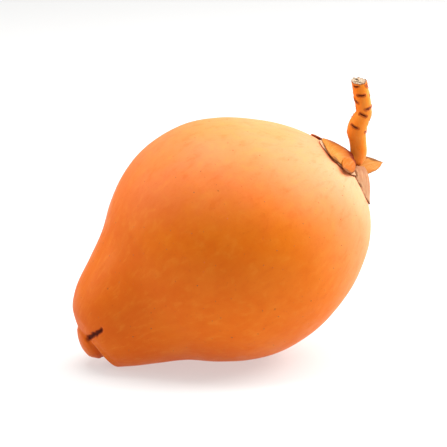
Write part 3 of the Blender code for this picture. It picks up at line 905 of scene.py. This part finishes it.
def makeStalkMaterial():
    made, tree, shader, place = newMaterial("stalkRind", stalkFinish["settings"])
    long = stretched(tree, place, stalkFinish["streakStretch"])
    tear = grainy(tree, place, *stalkFinish["tear"])
    masks = {
        "share": readValue(tree, "share"),
        "streaks": grainy(tree, long, *stalkFinish["streaks"]),
        "mottle": mottleMask(tree, place, stalkFinish["mottle"]),
        "specks": fleckMask(tree, place, stalkFinish["specks"]),
        "ragged": broken(tree, readValue(tree, "flower"), tear, stalkFinish["tearAmount"]),
        "grit": grainy(tree, place, *stalkFinish["grit"]),
    }
    paint(tree, shader, stalkFinish["redder"], masks, stalkFinish)
    return made


cutFinish = {
    "cream": (0.36, 0.23, 0.13, 1),
    "rim": (0.16, 0.055, 0.018, 1),
    "pith": (0.50, 0.39, 0.27, 1),
    "cells": 1400.0,
    "cloud": (420.0, 4.0, 0.6),
    "tear": (380.0, 3.0, 0.6),
    "tearAmount": 1.2,
    "layers": [
        ("cloud", (0.35, 0.65), "pith"),
        ("cells", (0.32, 0.12, 0.0, 0.45), "rim"),
        ("ragged", (0.60, 1.0, 0.0, 0.9), "rim"),
    ],
    "relief": {"cells": -0.7, "cloud": 0.6},
    "reliefDepth": 0.25 * mm,
    "settings": {"Roughness": 0.7},
    # from the rim inwards: mm farther in, mm deeper, and how brown
    "rings": [
        (0.12, 0.08, 1.0), (0.2, 0.02, 1.0), (0.3, -0.06, 0.8),
        (0.5, -0.05, 0.55), (0.9, 0.02, 0.3), (1.2, 0.05, 0.1),
    ],
}


def makeCutMaterial():
    made, tree, shader, place = newMaterial("cutFlesh", cutFinish["settings"])
    cells = addNode(tree, "ShaderNodeTexVoronoi", {"Vector": place, "Scale": cutFinish["cells"]})
    tear = grainy(tree, place, *cutFinish["tear"])
    masks = {
        "cells": cells.outputs["Distance"],
        "cloud": grainy(tree, place, *cutFinish["cloud"]),
        "ragged": broken(tree, readValue(tree, "rim"), tear, cutFinish["tearAmount"]),
    }
    paint(tree, shader, cutFinish["cream"], masks, cutFinish)
    return made


def stalkPath():
    stations = [(x * mm, z * mm, r * mm) for x, z, r in stalkShape["path"]]
    return EvenCurve(smoothCurve(stations, stations[0], stations[-1]))


def stalkPlace(path, share, turn=0.0, out=0.0):
    forward, up, radius = np.moveaxis(path.at(share), -1, 0)
    run = path.direction(share)[..., :2]
    run = run / np.linalg.norm(run, axis=-1, keepdims=True)
    sway = stalkShape["sway"] * np.sin(7.5 * share) * smoothStep(0.15, 0.4, share)
    towards = -np.cos(turn) + 0 * share
    outwards = np.stack([run[..., 1] * np.sin(turn), towards, -run[..., 0] * np.sin(turn)], -1)
    stemEnd = toTable(huskPoint(1.0, 0.0))
    return stemEnd + np.stack([forward, sway, up], -1) + outwards * (radius * out)[..., None]


def makeStalk(rind, flesh):
    path = stalkPath()
    share = np.linspace(0, 1, stalkShape["rings"])
    line = bpy.data.meshes.new("stalkLine")
    line.from_pydata(stalkPlace(path, share).tolist(), [(i, i + 1) for i in range(len(share) - 1)], [])
    keepAttribute(line, "width", path.at(share)[:, 2] - stalkShape["inset"])
    points, edges = [], []
    onward = np.linspace(-1, 1, 9)
    for flowerShare, turn, half, rise in stalkShape["flowers"]:
        arcShare = flowerShare + onward * rise / 2 + stalkShape["flowerBow"] * (onward**2 - 0.5)
        lifted = 1 + stalkShape["flowerFade"] * np.abs(onward) ** 3  # the scar fades towards its ends
        arc = stalkPlace(path, arcShare, np.radians(turn + onward * half), lifted)
        edges.extend((len(points) + i, len(points) + i + 1) for i in range(len(arc) - 1))
        points.extend(arc.tolist())
    spots = bpy.data.meshes.new("flowerSpots")
    spots.from_pydata(points, edges, [])
    spotsObject = bpy.data.objects.new("flowerSpots", spots)
    bpy.context.scene.collection.objects.link(spotsObject)
    mesh = growMesh("stalkRind", line, makeStalkTree(), {
        "Sides": stalkShape["sides"], "Flowers": spotsObject, "Lip": stalkShape["flowerLip"],
        "Notch": stalkShape["flowerNotch"], "Flower Radius": stalkShape["flowerRadius"],
        "Furrows": stalkShape["furrows"], "Slant Front": tan(stalkShape["cutFront"]),
        "Slant Side": tan(stalkShape["cutSide"]), "Tear": stalkShape["cutTear"], "Material": rind,
    })
    bpy.data.objects.remove(spotsObject)
    finishCut(mesh, flesh)
    piece = addGrown("stalkRind", mesh)
    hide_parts("stalk")
    return piece


def finishCut(mesh, flesh):  # the cut end: a rounded rim, then rings of flesh that sink towards the middle
    mesh.materials.append(flesh)
    bm = bmesh.new()
    bm.from_mesh(mesh)
    rimLayer = bm.verts.layers.float.new("rim")
    cap = max((f for f in bm.faces if len(f.verts) > 8), key=lambda f: f.calc_center_median().z)
    for vert in cap.verts:
        vert[rimLayer] = 1.0
    for thickness, depth, rimShare in cutFinish["rings"]:
        bmesh.ops.inset_individual(bm, faces=[cap], thickness=thickness * mm, depth=depth * mm)
        cap.material_index = 1
        for vert in cap.verts:
            vert[rimLayer] = rimShare
        for edge in cap.edges:
            for face in edge.link_faces:
                face.material_index = 1
    bmesh.ops.poke(bm, faces=[cap])
    bm.to_mesh(mesh)
    bm.free()
    mesh.shade_smooth()


# Corky flecks, raised a hair's breadth off the skin
flecks = {
    "spacing": 5.5 * mm,
    "density": 9000.0,
    "radius": (0.16 * mm, 0.42 * mm),
    "flatness": 0.16,
    "seed": 7,
    "colour": (0.30, 0.10, 0.03, 1),
    "settings": {"Roughness": 0.75},
}


def makeFleckTree():
    tree, given, out = newGeometryTree("scatterFlecks", [
        ("Spacing", "NodeSocketFloat"), ("Density", "NodeSocketFloat"), ("Smallest", "NodeSocketFloat"),
        ("Largest", "NodeSocketFloat"), ("Flatness", "NodeSocketFloat"), ("Seed", "NodeSocketInt"),
        ("Material", "NodeSocketMaterial"),
    ])
    spread = {"Mesh": given["Geometry"], "Distance Min": given["Spacing"], "Density Max": given["Density"]}
    spread["Seed"] = given["Seed"]
    dots = addNode(tree, "GeometryNodeDistributePointsOnFaces", spread, distribute_method="POISSON")
    ball = addNode(tree, "GeometryNodeMeshIcoSphere", {"Radius": 1.0, "Subdivisions": 1}).outputs[0]
    size = addNode(tree, "FunctionNodeRandomValue", {"Seed": given["Seed"]}, data_type="FLOAT")
    tree.links.new(given["Smallest"], size.inputs[2])
    tree.links.new(given["Largest"], size.inputs[3])
    wide = addNode(tree, "FunctionNodeRandomValue", {"Seed": 3, 2: 0.6, 3: 1.5}, data_type="FLOAT").outputs[1]
    scale = addNode(tree, "ShaderNodeCombineXYZ", {
        0: sums(tree, "MULTIPLY", size.outputs[1], wide), 1: size.outputs[1],
        2: sums(tree, "MULTIPLY", size.outputs[1], given["Flatness"])}).outputs[0]
    copies = {"Points": dots.outputs["Points"], "Instance": ball, "Rotation": dots.outputs["Rotation"]}
    copies["Scale"] = scale
    placed = addNode(tree, "GeometryNodeInstanceOnPoints", copies).outputs[0]
    endTree(tree, placed, given["Material"], out)
    return tree


def makeFlecks(husk):
    made, tree, shader, place = newMaterial("corkyFleck", flecks["settings"])
    shade = grainy(tree, place, 260.0, 2.0)
    colour = mixed(tree, remap(tree, shade, 0.35, 0.65), flecks["colour"], huskFinish["redder"])
    tree.links.new(colour, shader.inputs["Base Color"])
    mesh = growMesh("skinFlecks", husk.data.copy(), makeFleckTree(), {
        "Spacing": flecks["spacing"], "Density": flecks["density"], "Smallest": flecks["radius"][0],
        "Largest": flecks["radius"][1], "Flatness": flecks["flatness"], "Seed": flecks["seed"],
        "Material": made,
    })
    low = np.zeros(len(mesh.vertices) * 3)
    mesh.vertices.foreach_get("co", low)
    low[2::3] = np.maximum(low[2::3], 0.0)
    mesh.vertices.foreach_set("co", low)
    return addGrown("skinFlecks", mesh)


# Broken fibres along the bracts' margins
fray = {
    "spacing": 0.75 * mm,
    "length": (0.4 * mm, 1.2 * mm),
    "radius": 0.05 * mm,
    "start": 0.25,
    "end": 0.9,
    "rise": 0.15,  # above the bract's outer side, in thicknesses of the bract
    "seed": 11,
    "colour": (0.42, 0.21, 0.09, 1),
    "settings": {"Roughness": 0.8},
}


def makeFrayTree():
    tree, given, out = newGeometryTree("frayMargins", [
        ("Spacing", "NodeSocketFloat"), ("Shortest", "NodeSocketFloat"), ("Longest", "NodeSocketFloat"),
        ("Radius", "NodeSocketFloat"), ("Seed", "NodeSocketInt"), ("Material", "NodeSocketMaterial"),
    ])
    curve = addNode(tree, "GeometryNodeMeshToCurve", {"Mesh": given["Geometry"]}).outputs[0]
    evenly = {"Curve": curve, "Length": given["Spacing"]}
    resample = addNode(tree, "GeometryNodeCurveToPoints", evenly, mode="LENGTH")
    fibre = addNode(tree, "GeometryNodeMeshCone", {
        "Vertices": 5, "Radius Top": 0.15, "Radius Bottom": 1.0, "Depth": 1.0, "Side Segments": 2}).outputs[0]
    rooted = {"Geometry": fibre, "Translation": (0, 0, 0.35)}
    fibre = addNode(tree, "GeometryNodeTransform", rooted).outputs[0]
    length = addNode(tree, "FunctionNodeRandomValue", {"Seed": given["Seed"]}, data_type="FLOAT")
    tree.links.new(given["Shortest"], length.inputs[2])
    tree.links.new(given["Longest"], length.inputs[3])
    turn = addNode(tree, "FunctionNodeRandomValue", {"Seed": 5}, data_type="FLOAT_VECTOR")
    turn.inputs[0].default_value = (-0.55, -0.55, -0.4)
    turn.inputs[1].default_value = (0.55, 0.55, 0.4)
    tangent = {"Vector": resample.outputs["Tangent"]}
    along = addNode(tree, "FunctionNodeAlignRotationToVector", tangent, axis="Z")
    bent = addNode(tree, "FunctionNodeRotateRotation", {"Rotation": along.outputs[0]}, rotation_space="LOCAL")
    tree.links.new(turn.outputs[0], bent.inputs["Rotate By"])
    scale = addNode(tree, "ShaderNodeCombineXYZ", {
        0: given["Radius"], 1: given["Radius"], 2: length.outputs[1]}).outputs[0]
    copies = {"Points": resample.outputs["Points"], "Instance": fibre, "Rotation": bent.outputs[0]}
    copies["Scale"] = scale
    placed = addNode(tree, "GeometryNodeInstanceOnPoints", copies).outputs[0]
    endTree(tree, placed, given["Material"], out)
    return tree


def makeFray():
    made, tree, shader, place = newMaterial("brokenFibre", fray["settings"])
    shade = grainy(tree, place, 500.0, 2.0)
    colour = mixed(tree, remap(tree, shade, 0.4, 0.6), fray["colour"], bractFinish["brown"])
    tree.links.new(colour, shader.inputs["Base Color"])
    points, edges = [], []
    onward = np.linspace(fray["start"], fray["end"], 40)
    for bract in bracts.values():
        for hand in (-1.0, 1.0):
            raised = bract["thickness"] * fray["rise"] + 0 * onward
            line = toTable(bractPoint(hand + 0 * onward, onward, bract, raised))
            first = len(points)
            points.extend(line.tolist())
            edges.extend((first + i, first + i + 1) for i in range(len(line) - 1))
    margins = bpy.data.meshes.new("bractMargins")
    margins.from_pydata(points, edges, [])
    mesh = growMesh("frayedFibres", margins, makeFrayTree(), {
        "Spacing": fray["spacing"], "Shortest": fray["length"][0], "Longest": fray["length"][1],
        "Radius": fray["radius"], "Seed": fray["seed"], "Material": made,
    })
    return addGrown("frayedFibres", mesh)


# The studio
studio = {
    "floorColour": (0.42, 0.42, 0.418, 1),
    "floorGlow": 0.50,  # a pale light table: its own light keeps the shadow faint
    "floorSize": 12.0,
    "world": ((1.0, 1.0, 1.0, 1), 0.34),
    # place, size, power in watts, colour
    "lights": {
        "keySoftbox": ((0.80, 0.05, 0.80), 1.0, 17.5, (1.0, 0.985, 0.96)),
        "rightSoftbox": ((1.0, 0.5, 0.35), 0.8, 9.0, (1.0, 0.99, 0.97)),
        "leftSoftbox": ((-0.95, 0.35, 0.55), 0.7, 4.5, (1.0, 0.99, 0.97)),
        "topSoftbox": ((-0.1, 0.15, 1.1), 0.8, 11.0, (1.0, 0.99, 0.97)),
    },
    "aim": (0.0, 0.0, 0.08),
}


def makeStudio():
    bm = bmesh.new()
    bmesh.ops.create_grid(bm, x_segments=1, y_segments=1, size=studio["floorSize"] / 2)
    mesh = bpy.data.meshes.new("paleFloor")
    bm.to_mesh(mesh)
    bm.free()
    made = newMaterial("paleTable", {
        "Base Color": studio["floorColour"], "Roughness": 0.9, "Specular IOR Level": 0.0,
        "Emission Color": (1, 1, 1, 1), "Emission Strength": studio["floorGlow"],
    })[0]
    floor = bpy.data.objects.new("paleFloor", mesh)
    bpy.context.scene.collection.objects.link(floor)
    mesh.materials.append(made)
    aim = Vector(studio["aim"])
    for name, (place, size, power, colour) in studio["lights"].items():
        lamp = bpy.data.lights.new(name, "AREA")
        lamp.shape = "DISK"
        lamp.size = size
        lamp.energy = power
        lamp.color = colour
        light = bpy.data.objects.new(name, lamp)
        light.location = place
        light.rotation_euler = (aim - Vector(place)).to_track_quat("-Z", "Y").to_euler()
        bpy.context.scene.collection.objects.link(light)
    colour, strength = studio["world"]
    world = bpy.data.worlds.new("whiteSurround")
    world.use_nodes = True
    background = world.node_tree.nodes["Background"]
    background.inputs["Color"].default_value = colour
    background.inputs["Strength"].default_value = strength
    bpy.context.scene.world = world
    bpy.context.scene.view_settings.view_transform = "Standard"


def makeCamera():
    azimuth, elevation, roll = camera["azimuth"], camera["elevation"], camera["roll"]
    away = Vector((sin(azimuth) * cos(elevation), -cos(azimuth) * cos(elevation), sin(elevation)))
    right = Vector((cos(azimuth), sin(azimuth), 0))
    up = away.cross(right)
    right, up = right * cos(roll) + up * sin(roll), up * cos(roll) - right * sin(roll)
    middle = camera["imageWidth"] / 2
    pixelX, pixelY = camera["lookAtPixel"]
    scale = camera["metresPerPixel"]
    aim = Vector(camera["lookAt"]) + right * (middle - pixelX) * scale + up * (pixelY - middle) * scale
    lens = bpy.data.cameras.new("studioCamera")
    lens.sensor_width = camera["sensor"]
    lens.lens = camera["sensor"] * camera["distance"] / (camera["imageWidth"] * scale)
    lens.clip_end = 20
    eye = bpy.data.objects.new("studioCamera", lens)
    eye.matrix_world = Matrix((right, up, away)).transposed().to_4x4()
    eye.location = aim + away * camera["distance"]
    bpy.context.scene.collection.objects.link(eye)
    bpy.context.scene.camera = eye


makeCamera()
makeStudio()
print("studio and camera are ready")
huskPiece = makeHusk(makeHuskMaterial())
print("husk:", len(huskPiece.data.polygons), "faces")
bractMaterial = makeBractMaterial()
for bractName, bractSizes in bracts.items():
    makeBract(bractName, bractSizes, bractMaterial)
print("bracts:", len(bracts))
stalkPiece = makeStalk(makeStalkMaterial(), makeCutMaterial())
print("stalk:", len(stalkPiece.data.polygons), "faces")
fleckPiece = makeFlecks(huskPiece)
print("flecks:", len(fleckPiece.data.polygons), "faces")
frayPiece = makeFray()
print("frayed fibres:", len(frayPiece.data.polygons), "faces")
